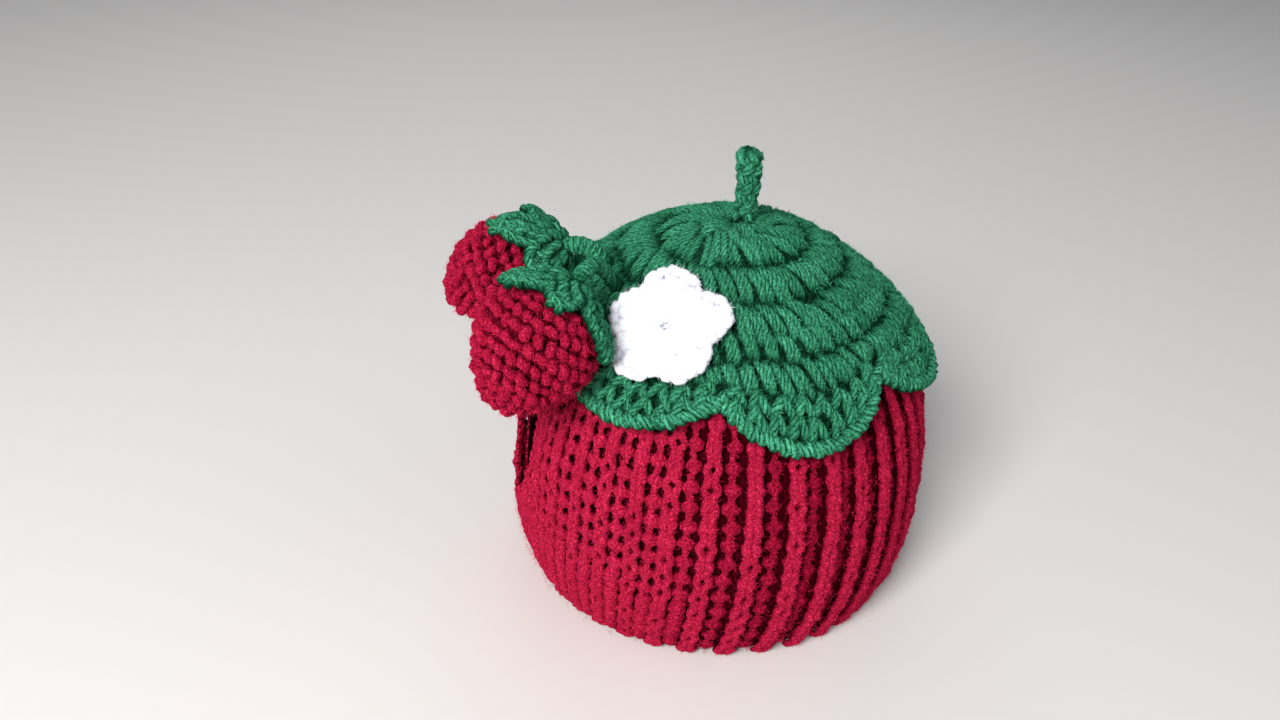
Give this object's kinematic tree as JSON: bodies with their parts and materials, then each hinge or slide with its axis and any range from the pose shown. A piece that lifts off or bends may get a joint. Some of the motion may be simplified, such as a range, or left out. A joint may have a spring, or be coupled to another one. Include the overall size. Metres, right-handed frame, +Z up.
{
  "type": "tea cosy",
  "caption": "Hollow crocheted tea cosy with a ribbed red cover, a scalloped green leaf cap with a stem, a white blossom and hanging stuffed berries.",
  "frame": {"origin": "middle of the whole object's box, on the surface that the hem rests on", "axes": "+Z up; -X is the spout side, where the berries hang; +X is the handle side; -Y is the front, where the blossom is sewn"},
  "size_m": [0.1986, 0.1718, 0.1829],
  "materials": {
    "red_yarn": "soft plied acrylic yarn, crocheted in vertical ribs, crimson red",
    "green_yarn": "soft plied acrylic yarn, crocheted in tall slanting stitches, leaf green",
    "white_yarn": "soft plied acrylic yarn, close crochet, white"
  },
  "bodies": {
    "root": {"ribbed_cover": "red_yarn", "leaf_cap": "green_yarn", "stem": "green_yarn", "blossom": "white_yarn", "berry_front": "red_yarn", "berry_back": "red_yarn", "calyx_front": "green_yarn", "calyx_back": "green_yarn", "stalk_front": "green_yarn", "stalk_back": "green_yarn"}
  },
  "joints": []
}
